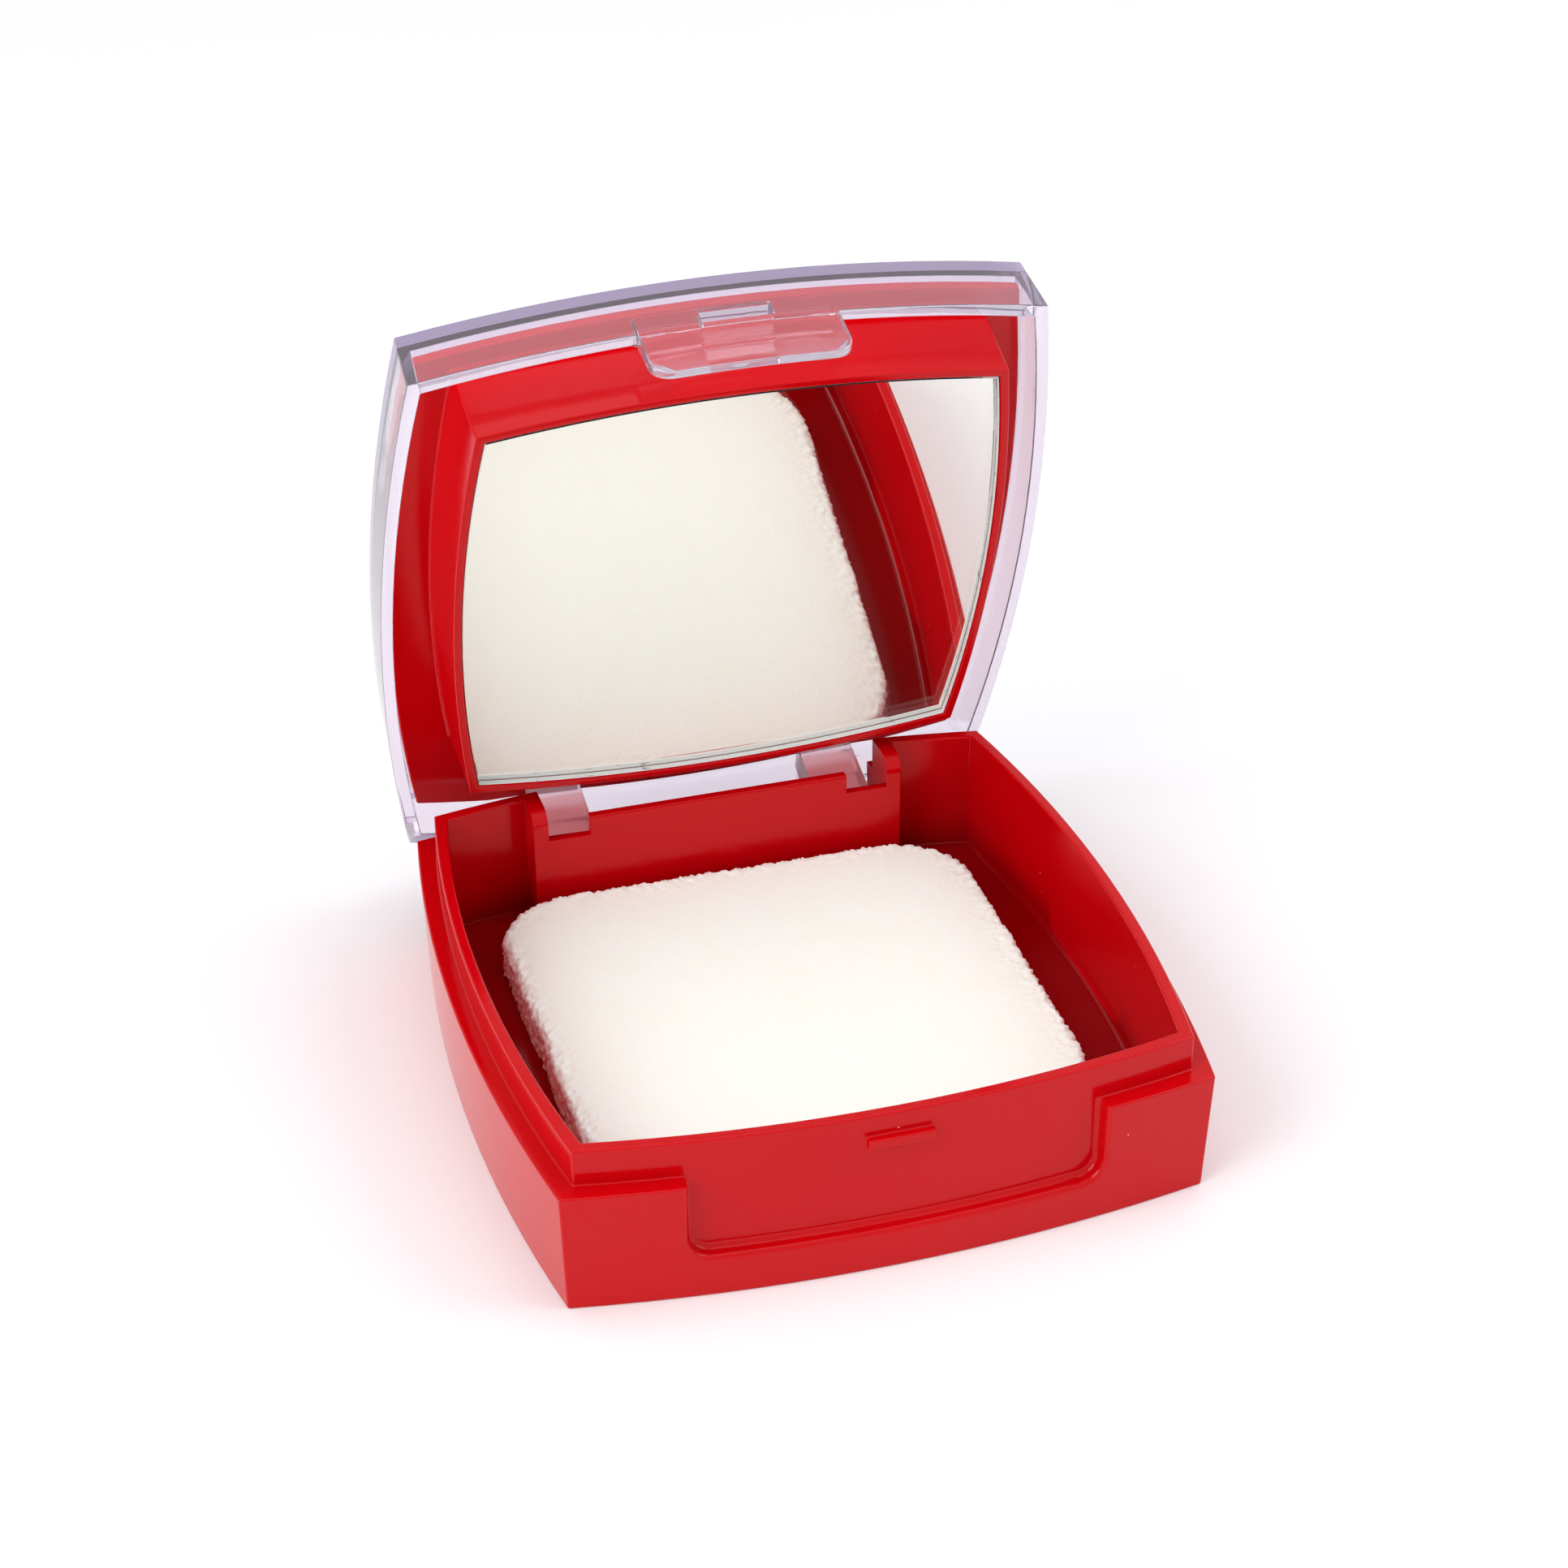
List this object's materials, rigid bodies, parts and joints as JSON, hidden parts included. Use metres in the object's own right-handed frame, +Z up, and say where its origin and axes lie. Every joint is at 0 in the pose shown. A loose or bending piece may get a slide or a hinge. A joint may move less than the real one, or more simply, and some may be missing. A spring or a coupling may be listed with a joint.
{
  "type": "powder compact",
  "caption": "Square bowed pressed-powder compact with a hinged clear lid, framed mirror, thumb recess, hidden powder pan and loose sponge puff.",
  "frame": {"origin": "centre of the base's underside, on the table", "axes": "+Z up; +Y from the thumb recess at the front towards the hinge at the back; +X to the user's right"},
  "size_m": [0.0782, 0.0892, 0.0853],
  "materials": {
    "red_plastic": "high-gloss moulded red plastic",
    "lilac_plastic": "clear, polished, faint lilac tint",
    "foam": "fine open foam, flocked feel",
    "pan_metal": "bright drawn sheet",
    "powder": "pressed powder, dead matt",
    "adhesive": "hot-melt glue film",
    "pin_steel": "drawn steel wire",
    "mirror_glass": "polished float glass, ground edges",
    "silvering": "silvered film with backing paint",
    "tape": "thin double-sided tape"
  },
  "bodies": {
    "base": {"base_shell": "red_plastic", "powder_pan": "pan_metal", "pan_adhesive": "adhesive", "pressed_powder": "powder"},
    "lid": {"lid_cover": "lilac_plastic", "mirror_frame": "red_plastic", "mirror_glass": "mirror_glass", "mirror_silvering": "silvering", "mirror_tape": "tape", "hinge_pin_left": "pin_steel", "hinge_pin_right": "pin_steel"},
    "sponge": {"sponge": "foam"}
  },
  "joints": [
    {"name": "lid_hinge", "type": "hinge", "parent": "base", "child": "lid", "pos_m": [0, 0.0361, 0.0094], "axis": [-1, 0, 0], "range_deg": [-73.4, 50]},
    {"name": "sponge_lift", "type": "slide", "parent": "base", "child": "sponge", "axis": [0, 0, 1], "range_m": [0, 0.02]}
  ]
}
